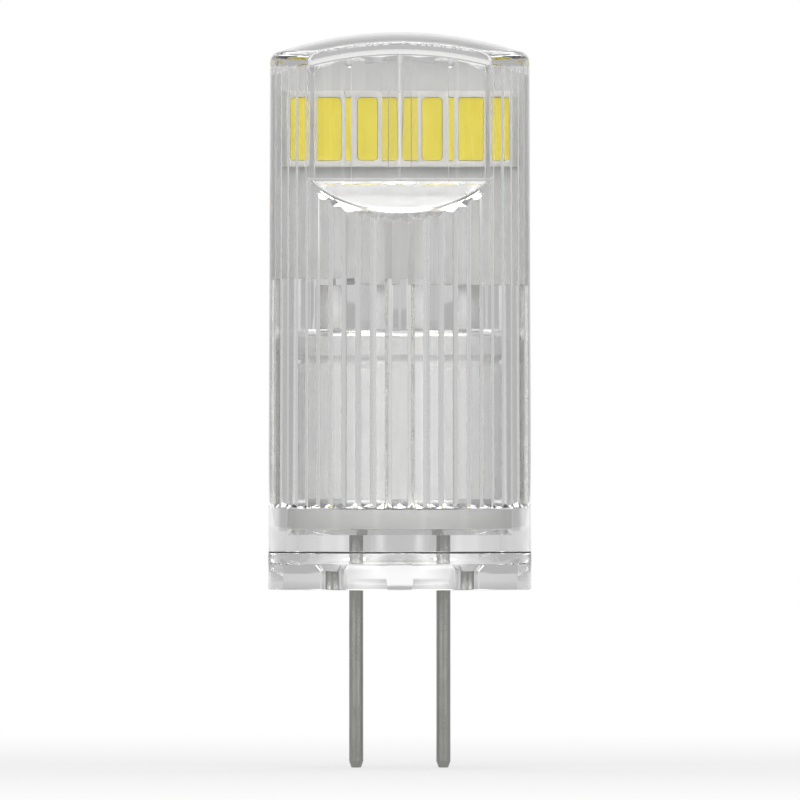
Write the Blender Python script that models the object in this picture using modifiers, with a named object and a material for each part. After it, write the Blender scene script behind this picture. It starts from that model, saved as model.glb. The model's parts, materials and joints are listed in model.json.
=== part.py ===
"""Clear two-pin LED capsule lamp, as a bench assembly of separate pieces.

The origin is the centre of the base's underside. +Z runs up to the dome, the contact pins point
down, and the front window looks along -Y. All sizes are in metres, written in millimetres x MM.
"""
import math

import bmesh
import bpy
from mathutils import Matrix, Vector

MM = 0.001

# Fits
SEAT = 0.02 * MM  # between pieces that touch
SLIDE = 0.04 * MM  # round a piece that slides into its hole or bore
SEAM = 0.05 * MM  # between the cover and the base's flange
MERGE = 1e-7  # vertices closer than this are one
OVERSHOOT = 1.0 * MM  # how far a cutter runs past what it cuts

# Contact pins
PIN_PITCH = 4.0 * MM
PIN_DIAMETER = 0.65 * MM
PIN_LENGTH = 8.16 * MM  # below the base
PIN_TIP_LENGTH = 0.27 * MM
PIN_TIP_DIAMETER = 0.43 * MM

# LED packages, three abreast on each face of the upright board
PACKAGE_WIDTH = 2.8 * MM
PACKAGE_HEIGHT = 3.49 * MM
PACKAGE_DEPTH = 0.7 * MM
PACKAGE_GAP = 0.18 * MM
PACKAGE_CORNER = 0.24 * MM
PACKAGE_SIDE_RIM = 0.265 * MM
PACKAGE_END_RIM = 0.29 * MM
FILL_DEPTH = 0.28 * MM
FILL_CORNER = 0.18 * MM

# Upright LED board
LED_BOARD_THICKNESS = 1.0 * MM
LED_BOARD_EDGE = 0.47 * MM  # beyond the outer packages
LED_BOARD_GAP = 0.11 * MM  # to the flute tips
LED_BOARD_HEADROOM = 0.51 * MM  # below the cover's ceiling, on the axis
LED_BOARD_TOP_RADIUS = 18.4 * MM
LED_BOARD_STEP = 0.28 * MM
LED_BOARD_STEP_X = -0.6 * MM

# Clear cover
FLUTE_COUNT = 48
FLUTE_DEPTH = 0.22 * MM
FLUTE_RUNOUT = 0.34 * MM
BORE_STEP = 0.02 * MM  # the plain bore is this much larger than the flute roots
BORE_CLEARANCE = 0.06 * MM  # above the driver board
COVER_WALL = 0.76 * MM  # outside the flute roots, at the shoulder
COVER_DRAFT = 0.09 * MM  # the side's growth in radius from shoulder to seam
DOME_WALL = 0.78 * MM
DOME_RADIUS = 17.6 * MM
INNER_DOME_RADIUS = 16.8 * MM
INNER_DOME_HEADROOM = 1.92 * MM  # above the packages, on the axis
SHOULDER_RADIUS = 0.5 * MM
WINDOW_GAP = 2.36 * MM  # between a package's face and the window's inner face
WINDOW_WALL = 0.64 * MM  # before the prisms on its inner face
WINDOW_DROP = 0.63 * MM  # below the packages
SHELF_FALL = 0.826  # height lost for each unit the shelf runs outwards
SHELF_WALL = 0.86 * MM
# Half width, and height above the inner face, along the window's light-spreading prisms
PRISM_POINTS = (
    (0.0 * MM, 0.58 * MM), (0.18 * MM, 0.44 * MM), (0.515 * MM, 0.21 * MM), (0.54 * MM, 0.225 * MM),
    (0.82 * MM, 0.03 * MM), (1.6 * MM, 0.45 * MM), (2.215 * MM, 0.11 * MM), (2.235 * MM, 0.395 * MM),
    (2.48 * MM, 0.54 * MM), (2.98 * MM, 0.23 * MM), (3.24 * MM, 0.12 * MM), (4.2 * MM, 0.12 * MM),
)

# Clear base
FLANGE_HEIGHT = 1.68 * MM
FLANGE_LIP = 0.01 * MM  # the flange's radius over the cover's
FLANGE_EDGE = 0.07 * MM
FLOOR_HEIGHT = 1.09 * MM
SPIGOT_HEIGHT = 1.08 * MM  # above the flange
SPIGOT_WALL = 0.55 * MM
SPIGOT_CHAMFER = 0.24 * MM
PIN_SINK_DIAMETER = 1.2 * MM
PIN_SINK_DEPTH = 0.27 * MM
NOTCH_WIDTH = 1.16 * MM
NOTCH_DEPTH = 0.12 * MM
NOTCH_REACH = 1.5 * MM

# Round driver board
DRIVER_BOARD_THICKNESS = 0.9 * MM

# Capacitor, standing lead end up
CAN_DIAMETER = 6.3 * MM
CAN_HEIGHT = 8.23 * MM
CAN_EDGE = 0.3 * MM
CRIMP_DROP = 1.5 * MM  # groove below the top
CRIMP_WIDTH = 0.7 * MM
CRIMP_DEPTH = 0.3 * MM
SLEEVE_WALL = 0.12 * MM
BUNG_DIAMETER = 4.7 * MM
BUNG_SINK = 0.9 * MM
LEAD_PITCH = 2.5 * MM
LEAD_DIAMETER = 0.5 * MM
LEAD_REACH = 0.8 * MM  # of leads and link wires, up the LED board
LEAD_SLEEVE_DIAMETER = 1.0 * MM
LEAD_SLEEVE_LENGTH = 2.0 * MM

# Link wires
LINK_DIAMETER = 0.6 * MM
LINK_INSET = 0.65 * MM  # from the LED board's edge

# Rear components: height runs up the board, depth stands off it
PART_GAP = 0.2 * MM
DRIVER_MARGIN = 0.3 * MM  # from the board's edge
INDUCTOR_MARGIN = 0.85 * MM
LEG_WIDTH = 0.4 * MM
LEG_THICKNESS = 0.15 * MM
LEG_REACH = 0.55 * MM
BRIDGE_WIDTH = 2.0 * MM
BRIDGE_HEIGHT = 2.1 * MM
BRIDGE_DEPTH = 1.2 * MM
BRIDGE_LEG_PITCH = 1.2 * MM
DRIVER_WIDTH = 1.4 * MM
DRIVER_HEIGHT = 2.8 * MM
DRIVER_DEPTH = 1.1 * MM
DRIVER_LEG_PITCH = 0.95 * MM
INDUCTOR_DIAMETER = 2.6 * MM
INDUCTOR_HEIGHT = 2.0 * MM
INDUCTOR_FLANGE = 0.42 * MM
INDUCTOR_NECK = 1.4 * MM
WINDING_DIAMETER = 2.3 * MM
WINDING_TURNS = 6
CHIP_WIDTH = 1.6 * MM
CHIP_HEIGHT = 0.8 * MM
CHIP_PITCH = 2.6 * MM
RESISTOR_DEPTH = 0.45 * MM
CAPACITOR_DEPTH = 0.8 * MM
TERMINAL_SHARE = 0.22  # of a chip's width, at each end
TERMINAL_STEP = 0.03 * MM

# Radii worked out from the LED board outwards
LED_BOARD_WIDTH = 3 * PACKAGE_WIDTH + 2 * PACKAGE_GAP + 2 * LED_BOARD_EDGE
FLUTE_TIP_RADIUS = LED_BOARD_WIDTH / 2 + LED_BOARD_GAP
FLUTE_ROOT_RADIUS = FLUTE_TIP_RADIUS + FLUTE_DEPTH
BORE_RADIUS = FLUTE_ROOT_RADIUS + BORE_STEP
COVER_TOP_RADIUS = FLUTE_ROOT_RADIUS + COVER_WALL
COVER_RADIUS = COVER_TOP_RADIUS + COVER_DRAFT
FLANGE_RADIUS = COVER_RADIUS + FLANGE_LIP
DRIVER_BOARD_RADIUS = BORE_RADIUS - SLIDE

# Depths worked out from the LED board's middle plane
REAR_FACE = LED_BOARD_THICKNESS / 2 + SEAT
INNER_WINDOW_DEPTH = REAR_FACE + PACKAGE_DEPTH + WINDOW_GAP
WINDOW_DEPTH = INNER_WINDOW_DEPTH + WINDOW_WALL
LEAD_DEPTH = REAR_FACE + LEAD_DIAMETER / 2
LINK_DEPTH = REAR_FACE + LINK_DIAMETER / 2

# Heights worked out from the base upwards
COVER_BOTTOM = FLANGE_HEIGHT + SEAM
SPIGOT_TOP = FLANGE_HEIGHT + SPIGOT_HEIGHT
DRIVER_BOARD_BOTTOM = SPIGOT_TOP + SEAT
DRIVER_BOARD_TOP = DRIVER_BOARD_BOTTOM + DRIVER_BOARD_THICKNESS
BORE_TOP = DRIVER_BOARD_TOP + BORE_CLEARANCE
CAN_BOTTOM = DRIVER_BOARD_TOP + SEAT
CAN_TOP = CAN_BOTTOM + CAN_HEIGHT
LED_BOARD_BOTTOM = CAN_TOP + LEAD_SLEEVE_LENGTH + 2 * SEAT
LEAD_TOP = LED_BOARD_BOTTOM + LEAD_REACH
LOWER_ROW = LEAD_TOP + PART_GAP + CHIP_HEIGHT / 2
UPPER_ROW = LOWER_ROW + CHIP_HEIGHT / 2 + PART_GAP + LEG_REACH + BRIDGE_HEIGHT / 2
PACKAGE_BOTTOM = UPPER_ROW + BRIDGE_HEIGHT / 2 + LEG_REACH + PART_GAP
PACKAGE_CENTRE = PACKAGE_BOTTOM + PACKAGE_HEIGHT / 2
WINDOW_BOTTOM = PACKAGE_BOTTOM - WINDOW_DROP
INNER_TOP = PACKAGE_BOTTOM + PACKAGE_HEIGHT + INNER_DOME_HEADROOM
COVER_TOP = INNER_TOP + DOME_WALL

# Places across the LED board's rear face
PACKAGE_PITCH = PACKAGE_WIDTH + PACKAGE_GAP
LINK_X = LED_BOARD_WIDTH / 2 - LINK_INSET
INDUCTOR_X = INDUCTOR_MARGIN + INDUCTOR_DIAMETER / 2 - LED_BOARD_WIDTH / 2
DRIVER_X = LED_BOARD_WIDTH / 2 - DRIVER_MARGIN - LEG_REACH - DRIVER_WIDTH / 2
BRIDGE_X = (INDUCTOR_X + INDUCTOR_DIAMETER / 2 + DRIVER_X - DRIVER_WIDTH / 2 - LEG_REACH) / 2

# Facets
ROUND_STEPS = 96
SMALL_STEPS = 24

LAMP = bpy.data.collections.new("led_capsule_bulb")
CUTTERS = bpy.data.collections.new("cutters")


def clear_scene():
    for old in list(bpy.data.objects):
        bpy.data.objects.remove(old, do_unlink=True)
    bpy.context.scene.collection.children.link(LAMP)
    bpy.context.scene.collection.children.link(CUTTERS)


def material(name, colour, roughness, metallic=0.0, alpha=1.0, transmission=0.0):
    """A Principled material of one colour."""
    made = bpy.data.materials.new(name)
    made.use_nodes = True
    shader = made.node_tree.nodes["Principled BSDF"]
    shader.inputs["Base Color"].default_value = (*colour, 1.0)
    shader.inputs["Roughness"].default_value = roughness
    shader.inputs["Metallic"].default_value = metallic
    shader.inputs["Alpha"].default_value = alpha
    shader.inputs["Transmission Weight"].default_value = transmission
    made.diffuse_color = (*colour, alpha)
    return made


def add_object(name, mesh, finish=None, cutter=False):
    """Link a mesh as a named part, or as a hidden cutter."""
    made = bpy.data.objects.new(name, mesh)
    (CUTTERS if cutter else LAMP).objects.link(made)
    if finish:
        mesh.materials.append(finish)
    if cutter:
        made.hide_render = True
        made.display_type = "WIRE"
    return made


def lathe(name, profile, finish=None, cutter=False, steps=ROUND_STEPS, smooth=True):
    """Turn a profile of (radius, height) points, outer side running top to bottom, about Z."""
    mesh = bpy.data.meshes.new(name)
    edges = [(i, i + 1) for i in range(len(profile) - 1)]
    mesh.from_pydata([(r, 0.0, z) for r, z in profile], edges, [])
    turned = add_object(name, mesh, finish, cutter)
    screw = turned.modifiers.new("turn", "SCREW")
    screw.steps = steps
    screw.render_steps = steps
    screw.use_merge_vertices = True
    screw.merge_threshold = MERGE
    screw.use_smooth_shade = smooth
    return turned


def ring_lathe(name, loop, finish=None, cutter=False, steps=ROUND_STEPS):
    """Turn a closed loop of (radius, height) points about Z into a ring."""
    turned = lathe(name, [*loop, loop[0]], finish, cutter, steps)
    weld(turned.data)
    return turned


def weld(mesh):
    """Join a mesh's doubled vertices."""
    shape = bmesh.new()
    shape.from_mesh(mesh)
    bmesh.ops.remove_doubles(shape, verts=shape.verts, dist=MERGE)
    shape.to_mesh(mesh)
    shape.free()


def baked(source):
    """The evaluated mesh of an object, welded; the object itself is removed."""
    bpy.context.view_layer.update()
    graph = bpy.context.evaluated_depsgraph_get()
    mesh = bpy.data.meshes.new_from_object(source.evaluated_get(graph))
    weld(mesh)
    mesh.transform(source.matrix_world)
    bpy.data.objects.remove(source, do_unlink=True)
    return mesh


def flat_plate(name, outline, thickness, finish=None, cutter=False):
    """A flat outline in local X and Y, extruded by its thickness about local Z = 0."""
    curve = bpy.data.curves.new(name, "CURVE")
    curve.dimensions = "2D"
    curve.fill_mode = "BOTH"
    curve.extrude = thickness / 2
    spline = curve.splines.new("POLY")
    spline.points.add(len(outline) - 1)
    for point, (x, y) in zip(spline.points, outline):
        point.co = (x, y, 0.0, 1.0)
    spline.use_cyclic_u = True
    drawn = bpy.data.objects.new(name + "_outline", curve)
    CUTTERS.objects.link(drawn)
    return add_object(name, baked(drawn), finish, cutter)


def stand_facing_front(shape, depth_from, depth):
    """Turn a flat plate upright: its local Y runs up, and its depth runs from depth_from to +Y."""
    shape.data.transform(Matrix.Rotation(math.radians(90.0), 4, "X"))
    shape.data.transform(Matrix.Translation((0.0, depth_from + depth / 2, 0.0)))


def boolean(target, cutter, operation="DIFFERENCE"):
    step = target.modifiers.new(operation.lower(), "BOOLEAN")
    step.operation = operation
    step.solver = "EXACT"
    step.object = cutter


def rod(name, diameter, bottom, top, finish=None, cutter=False, steps=SMALL_STEPS):
    """A plain round bar on the Z axis."""
    radius = diameter / 2
    profile = [(0.0, top), (radius, top), (radius, bottom), (0.0, bottom)]
    return lathe(name, profile, finish, cutter, steps)


def wire(name, route, diameter, finish):
    """A round wire through a list of points, with welded end caps."""
    curve = bpy.data.curves.new(name, "CURVE")
    curve.dimensions = "3D"
    curve.bevel_depth = diameter / 2
    curve.bevel_resolution = 4
    curve.use_fill_caps = True
    spline = curve.splines.new("POLY")
    spline.points.add(len(route) - 1)
    for point, place in zip(spline.points, route):
        point.co = (*place, 1.0)
    drawn = bpy.data.objects.new(name + "_route", curve)
    CUTTERS.objects.link(drawn)
    return add_object(name, baked(drawn), finish)


def box(name, size, centre, finish=None, cutter=False, edge=0.0):
    """A box, with its edges rounded off where edge is given."""
    shape = bmesh.new()
    bmesh.ops.create_cube(shape, size=1.0)
    bmesh.ops.scale(shape, vec=Vector(size), verts=shape.verts)
    bmesh.ops.translate(shape, vec=Vector(centre), verts=shape.verts)
    mesh = bpy.data.meshes.new(name)
    shape.to_mesh(mesh)
    shape.free()
    made = add_object(name, mesh, finish, cutter)
    if edge:
        bevel = made.modifiers.new("edges", "BEVEL")
        bevel.width = edge
        bevel.segments = 2
    return made


def arc(radius, apex, reach, rows):
    """Points of a shallow dome from its apex on the axis out to a radius."""
    points = []
    for i in range(rows + 1):
        r = reach * i / rows
        points.append((r, apex - radius + math.sqrt(radius ** 2 - r ** 2)))
    return points


def rounded_outline(width, height, corner, rows=3):
    """A rectangle about the origin with round corners."""
    outline = []
    for k in range(4):
        cx = (width / 2 - corner) * (1 if k in (0, 3) else -1)
        cy = (height / 2 - corner) * (1 if k in (0, 1) else -1)
        for i in range(rows + 1):
            turn = math.radians(90.0 * (k + i / rows))
            outline.append((cx + corner * math.cos(turn), cy + corner * math.sin(turn)))
    return outline


def cover_profile():
    """Outside of the cover: dome, rounded shoulder and slightly tapered side."""
    dome_end = COVER_TOP_RADIUS - SHOULDER_RADIUS
    points = arc(DOME_RADIUS, COVER_TOP, dome_end, 5)
    centre_z = points[-1][1] - SHOULDER_RADIUS
    for i in range(1, 5):
        turn = math.radians(90.0 * i / 4)
        r = dome_end + SHOULDER_RADIUS * math.sin(turn)
        points.append((r, centre_z + SHOULDER_RADIUS * math.cos(turn)))
    points.append((COVER_RADIUS, COVER_BOTTOM))
    points.append((0.0, COVER_BOTTOM))
    return points


def window_block(name, depth, bottom, side):
    """Cutter for all that lies outside a window flat and its sloping shelf."""
    far = COVER_RADIUS * 1.5
    over = COVER_TOP * 1.2
    outline = [(depth, over), (depth, bottom), (far, bottom - SHELF_FALL * (far - depth)), (far, over)]
    if side < 0:
        outline = [(-d, z) for d, z in reversed(outline)]
    block = flat_plate(name, outline, 3 * COVER_RADIUS, cutter=True)
    block.data.transform(Matrix.Rotation(math.radians(90.0), 4, "X"))
    block.data.transform(Matrix.Rotation(math.radians(90.0), 4, "Z"))
    return block


def prism_block(name, bottom, side):
    """Cutter whose face carries the upright prisms of a window's inner face."""
    far = COVER_RADIUS * 1.5
    right = [(x, INNER_WINDOW_DEPTH - proud) for x, proud in PRISM_POINTS]
    left = [(-x, y) for x, y in reversed(right[1:])]
    outline = [(-far, left[0][1]), *left, *right, (far, right[-1][1]), (far, far), (-far, far)]
    if side < 0:
        outline = [(x, -y) for x, y in reversed(outline)]
    over = COVER_TOP * 1.2
    block = flat_plate(name, outline, over - bottom, cutter=True)
    block.data.transform(Matrix.Translation((0.0, 0.0, (over + bottom) / 2)))
    return block


def cover_cavity():
    """Cutter for the inside: plain bore, upright flutes, low dome and two flattened faces."""
    star = []
    for i in range(2 * FLUTE_COUNT):
        turn = math.pi * i / FLUTE_COUNT
        r = FLUTE_TIP_RADIUS if i % 2 == 0 else FLUTE_ROOT_RADIUS
        star.append((r * math.sin(turn), r * math.cos(turn)))
    bottom = (COVER_BOTTOM + BORE_TOP) / 2
    cavity = flat_plate("cavity", list(reversed(star)), COVER_TOP - bottom, cutter=True)
    cavity.data.transform(Matrix.Translation((0.0, 0.0, (COVER_TOP + bottom) / 2)))

    dome = arc(INNER_DOME_RADIUS, INNER_TOP, FLUTE_ROOT_RADIUS * 1.05, 4)
    closed = [*dome, (dome[-1][0], 0.0), (0.0, 0.0)]
    limit = lathe("cavity_dome", closed, cutter=True, steps=ROUND_STEPS // 2)
    boolean(cavity, limit, "INTERSECT")

    slope_length = math.hypot(1.0, SHELF_FALL)
    inner_bottom = WINDOW_BOTTOM + SHELF_FALL * WINDOW_WALL - SHELF_WALL * slope_length
    for side, word in ((-1, "front"), (1, "rear")):
        wall = window_block("inner_flat_" + word, INNER_WINDOW_DEPTH, inner_bottom, side)
        boolean(cavity, wall)
        boolean(cavity, prism_block("inner_prisms_" + word, inner_bottom + SEAM, side))

    runout_top = BORE_TOP + FLUTE_RUNOUT
    tip = FLUTE_TIP_RADIUS - FLUTE_DEPTH / 2
    bore = lathe("cavity_bore", [
        (0.0, runout_top), (tip, runout_top), (BORE_RADIUS, BORE_TOP), (BORE_RADIUS, 0.0), (0.0, 0.0),
    ], cutter=True)
    boolean(cavity, bore, "UNION")
    return cavity


def build_cover(clear):
    cover = lathe("clear_cover", cover_profile(), clear)
    for side, word in ((-1, "front"), (1, "rear")):
        boolean(cover, window_block("flat_" + word, WINDOW_DEPTH, WINDOW_BOTTOM, side))
    boolean(cover, cover_cavity())


def build_base(clear):
    """Flange, floor and spigot in one turned piece, then the pin holes and the two edge notches."""
    spigot = BORE_RADIUS - SLIDE
    inner = spigot - SPIGOT_WALL
    base = lathe("clear_base", [
        (0.0, FLOOR_HEIGHT), (inner, FLOOR_HEIGHT), (inner, SPIGOT_TOP),
        (spigot - SPIGOT_CHAMFER, SPIGOT_TOP), (spigot, SPIGOT_TOP - SPIGOT_CHAMFER),
        (spigot, FLANGE_HEIGHT), (FLANGE_RADIUS, FLANGE_HEIGHT), (FLANGE_RADIUS, FLANGE_EDGE),
        (FLANGE_RADIUS - FLANGE_EDGE, 0.0), (0.0, 0.0),
    ], clear)
    hole = PIN_DIAMETER / 2 + SLIDE
    sink = PIN_SINK_DIAMETER / 2
    for side, word in ((-1, "left"), (1, "right")):
        drill = lathe("pin_hole_" + word, [
            (0.0, SPIGOT_TOP), (sink, SPIGOT_TOP), (sink, FLOOR_HEIGHT),
            (hole, FLOOR_HEIGHT - PIN_SINK_DEPTH), (hole, -OVERSHOOT), (0.0, -OVERSHOOT),
        ], cutter=True, steps=SMALL_STEPS)
        drill.location.x = side * PIN_PITCH / 2
        boolean(base, drill)
    for side, word in ((-1, "front"), (1, "rear")):
        centre = (0.0, side * FLANGE_RADIUS, 0.0)
        size = (NOTCH_WIDTH, 2 * NOTCH_REACH, 2 * NOTCH_DEPTH)
        boolean(base, box("notch_" + word, size, centre, cutter=True))


def build_pins(metal):
    tip = PIN_TIP_DIAMETER / 2
    radius = PIN_DIAMETER / 2
    for side, word in ((-1, "left"), (1, "right")):
        pin = lathe("contact_pin_" + word, [
            (0.0, DRIVER_BOARD_TOP), (radius, DRIVER_BOARD_TOP), (radius, -PIN_LENGTH + PIN_TIP_LENGTH),
            (tip, -PIN_LENGTH), (0.0, -PIN_LENGTH),
        ], metal, steps=SMALL_STEPS)
        pin.location.x = side * PIN_PITCH / 2


def build_driver_board(finish):
    board = rod(
        "driver_board", 2 * DRIVER_BOARD_RADIUS, DRIVER_BOARD_BOTTOM, DRIVER_BOARD_TOP, finish,
        steps=ROUND_STEPS // 2,
    )
    holes = (("pin", PIN_PITCH / 2, 0.0, PIN_DIAMETER), ("link", LINK_X, LINK_DEPTH, LINK_DIAMETER))
    for word, x, y, diameter in holes:
        for side in (-1, 1):
            over = DRIVER_BOARD_TOP + OVERSHOOT
            drill = rod(f"board_{word}_hole_{side}", diameter + 2 * SLIDE, 0.0, over, cutter=True)
            drill.location = (side * x, y, 0.0)
            boolean(board, drill)


def build_led_board(finish):
    """Upright board whose top follows the dome and whose lower edge has one small step."""
    half = LED_BOARD_WIDTH / 2
    top = arc(LED_BOARD_TOP_RADIUS, INNER_TOP - LED_BOARD_HEADROOM, half, 6)
    left = [(-r, z) for r, z in reversed(top)]
    outline = [
        *left, *top[1:], (half, LED_BOARD_BOTTOM), (LED_BOARD_STEP_X, LED_BOARD_BOTTOM),
        (LED_BOARD_STEP_X, LED_BOARD_BOTTOM + LED_BOARD_STEP), (-half, LED_BOARD_BOTTOM + LED_BOARD_STEP),
    ]
    board = flat_plate("led_board", list(reversed(outline)), LED_BOARD_THICKNESS, finish)
    stand_facing_front(board, -LED_BOARD_THICKNESS / 2, LED_BOARD_THICKNESS)


def package_mesh(finish):
    """One LED body facing -Y, its back on Y = 0, with a cut corner and an open cavity."""
    w = PACKAGE_WIDTH / 2
    h = PACKAGE_HEIGHT / 2
    outline = [(-w, -h), (w, -h), (w, h - PACKAGE_CORNER), (w - PACKAGE_CORNER, h), (-w, h)]
    body = flat_plate("package", outline, PACKAGE_DEPTH, finish)
    stand_facing_front(body, -PACKAGE_DEPTH, PACKAGE_DEPTH)
    width = PACKAGE_WIDTH - 2 * PACKAGE_SIDE_RIM
    height = PACKAGE_HEIGHT - 2 * PACKAGE_END_RIM
    hollow = flat_plate("package_cavity", rounded_outline(width, height, FILL_CORNER), 2 * FILL_DEPTH,
                        cutter=True)
    stand_facing_front(hollow, -PACKAGE_DEPTH - FILL_DEPTH, 2 * FILL_DEPTH)
    boolean(body, hollow)
    mesh = baked(body)
    bpy.data.objects.remove(hollow, do_unlink=True)
    return mesh


def fill_mesh(finish):
    """The phosphor fill of one package, in the same place as its body."""
    width = PACKAGE_WIDTH - 2 * PACKAGE_SIDE_RIM - 2 * SEAT
    height = PACKAGE_HEIGHT - 2 * PACKAGE_END_RIM - 2 * SEAT
    depth = FILL_DEPTH - 2 * SEAT
    outline = rounded_outline(width, height, FILL_CORNER - SEAT)
    fill = flat_plate("fill", outline, depth, finish)
    stand_facing_front(fill, -PACKAGE_DEPTH + SEAT, depth)
    return baked(fill)


def build_packages(body_finish, fill_finish):
    body = package_mesh(body_finish)
    fill = fill_mesh(fill_finish)
    for face, turn in (("front", 0.0), ("rear", 180.0)):
        for index, word in ((-1, "left"), (0, "middle"), (1, "right")):
            place = Matrix.Rotation(math.radians(turn), 4, "Z") @ Matrix.Translation(
                (index * PACKAGE_PITCH, -REAR_FACE, PACKAGE_CENTRE))
            for kind, mesh in (("led_package", body), ("phosphor", fill)):
                placed = add_object(f"{kind}_{face}_{word}", mesh)
                placed.matrix_world = place


def crimp(radius, rows=4):
    """Points of the round crimp groove in the can's side, from its top down."""
    middle = CAN_TOP - CRIMP_DROP
    points = []
    for i in range(rows + 1):
        swing = math.pi * i / rows
        points.append((radius - CRIMP_DEPTH * math.sin(swing), middle + CRIMP_WIDTH / 2 * math.cos(swing)))
    return points


def build_capacitor(can_finish, sleeve_finish, bung_finish, lead_finish, tube_finish):
    bottom = CAN_BOTTOM
    core = CAN_DIAMETER / 2 - SLEEVE_WALL - SEAT
    bung = BUNG_DIAMETER / 2
    recess = bung + SLIDE
    lathe("capacitor_can", [
        (0.0, CAN_TOP - BUNG_SINK), (recess, CAN_TOP - BUNG_SINK), (recess, CAN_TOP - CAN_EDGE / 2),
        (bung + CAN_EDGE, CAN_TOP), (core - CAN_EDGE, CAN_TOP), (core, CAN_TOP - CAN_EDGE),
        *crimp(core), (core, bottom + CAN_EDGE), (core - CAN_EDGE, bottom), (0.0, bottom),
    ], can_finish, steps=ROUND_STEPS // 2)

    inner = core + SEAT
    outer = CAN_DIAMETER / 2
    lip = CAN_EDGE + SLEEVE_WALL
    ring_lathe("capacitor_sleeve", [
        (inner, CAN_TOP - CAN_EDGE), (outer, CAN_TOP - CAN_EDGE), *crimp(outer),
        (outer, bottom + lip), (inner, bottom + lip), *reversed(crimp(inner)),
    ], sleeve_finish, steps=ROUND_STEPS // 2)

    plug = lathe("capacitor_bung", [
        (0.0, CAN_TOP), (bung - CAN_EDGE / 2, CAN_TOP), (bung, CAN_TOP - CAN_EDGE / 2),
        (bung, CAN_TOP - BUNG_SINK + SEAT), (0.0, CAN_TOP - BUNG_SINK + SEAT),
    ], bung_finish, steps=ROUND_STEPS // 2)

    foot = CAN_TOP - BUNG_SINK + 2 * SEAT
    for side, word in ((-1, "left"), (1, "right")):
        x = side * LEAD_PITCH / 2
        socket = rod("bung_hole_" + word, LEAD_DIAMETER + 2 * SLIDE, foot - SEAT, CAN_TOP + OVERSHOOT,
                     cutter=True)
        socket.location = (x, LEAD_DEPTH, 0.0)
        boolean(plug, socket)
        wire("capacitor_lead_" + word, [(x, LEAD_DEPTH, foot), (x, LEAD_DEPTH, LEAD_TOP)],
             LEAD_DIAMETER, lead_finish)
        tube_bottom = CAN_TOP + SEAT
        tube_top = tube_bottom + LEAD_SLEEVE_LENGTH
        hole = LEAD_DIAMETER / 2 + SLIDE
        outside = LEAD_SLEEVE_DIAMETER / 2
        tube = ring_lathe("lead_sleeve_" + word, [
            (hole, tube_top), (outside, tube_top), (outside, tube_bottom), (hole, tube_bottom),
        ], tube_finish, steps=SMALL_STEPS)
        tube.location = (x, LEAD_DEPTH, 0.0)


def build_links(metal):
    for side, word in ((-1, "left"), (1, "right")):
        x = side * LINK_X
        wire("link_wire_" + word, [(x, LINK_DEPTH, DRIVER_BOARD_BOTTOM), (x, LINK_DEPTH, LEAD_TOP)],
             LINK_DIAMETER, metal)


def leg_outline(depth, reach):
    """Side outline of a bent leg: out of the body's side, down to the board, foot outwards."""
    knee = reach * 0.45
    t = LEG_THICKNESS
    height = depth * 0.5
    return [
        (-t, height), (knee, height), (knee, t), (reach, t), (reach, 0.0),
        (knee - t, 0.0), (knee - t, height - t), (-t, height - t),
    ]


def chip_with_legs(name, size, place, leg_rows, legs_up_down, finish):
    """A moulded chip on the rear face, its bent legs fused to the body."""
    width, height, depth = size
    x, z = place
    lift = LEG_THICKNESS / 2
    centre = (x, REAR_FACE + lift + (depth - lift) / 2, z)
    body = box(name, (width, depth - lift, height), centre, finish)
    side_reach = height / 2 if legs_up_down else width / 2
    for row in leg_rows:
        for side in (-1, 1):
            outline = leg_outline(depth, LEG_REACH)
            leg = flat_plate(f"{name}_leg_{row:.4f}_{side}", outline, LEG_WIDTH, cutter=True)
            # local X runs away from the body, local Y away from the board
            if legs_up_down:
                frame = Matrix(((0, 0, 1), (0, 1, 0), (side, 0, 0))).to_4x4()
                shift = Vector((x + row, REAR_FACE, z + side * side_reach))
            else:
                frame = Matrix(((side, 0, 0), (0, 1, 0), (0, 0, side))).to_4x4()
                shift = Vector((x + side * side_reach, REAR_FACE, z + row))
            leg.data.transform(frame)
            if frame.determinant() < 0:
                leg.data.flip_normals()
            leg.data.transform(Matrix.Translation(shift))
            boolean(body, leg, "UNION")


def chip_block(name, size, place, finish):
    """A two-terminal chip on the rear face: a body with slightly larger metal ends."""
    width, height, depth = size
    x, z = place
    end = width * TERMINAL_SHARE
    y = REAR_FACE + depth / 2
    body = box(name, (width - end, depth - 2 * TERMINAL_STEP, height - 2 * TERMINAL_STEP), (x, y, z), finish)
    for side in (-1, 1):
        centre = (x + side * (width - end) / 2, y, z)
        boolean(body, box(f"{name}_end_{side}", (end, depth, height), centre, cutter=True), "UNION")


def build_inductor(core_finish, wire_finish):
    """Drum core lying with its axis square to the board, and its winding."""
    rim = INDUCTOR_DIAMETER / 2
    neck = INDUCTOR_NECK / 2
    top = INDUCTOR_HEIGHT
    core = lathe("inductor_core", [
        (0.0, top), (rim, top), (rim, top - INDUCTOR_FLANGE), (neck, top - INDUCTOR_FLANGE),
        (neck, INDUCTOR_FLANGE), (rim, INDUCTOR_FLANGE), (rim, 0.0), (0.0, 0.0),
    ], core_finish, steps=ROUND_STEPS // 2)
    low = INDUCTOR_FLANGE + SEAT
    high = top - INDUCTOR_FLANGE - SEAT
    inner = neck + SLIDE
    outer = WINDING_DIAMETER / 2
    turn_height = (high - low) / WINDING_TURNS
    ridge = turn_height / 2
    loop = [(inner, high)]
    for i in range(WINDING_TURNS):
        start = high - i * turn_height
        loop.append((outer - ridge, start))
        loop.append((outer, start - ridge))
    loop += [(outer - ridge, low), (inner, low)]
    winding = ring_lathe("inductor_winding", loop, wire_finish, steps=ROUND_STEPS // 2)
    for piece in (core, winding):
        piece.rotation_euler.x = math.radians(-90.0)
        piece.location = (INDUCTOR_X, REAR_FACE, UPPER_ROW)


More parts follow.
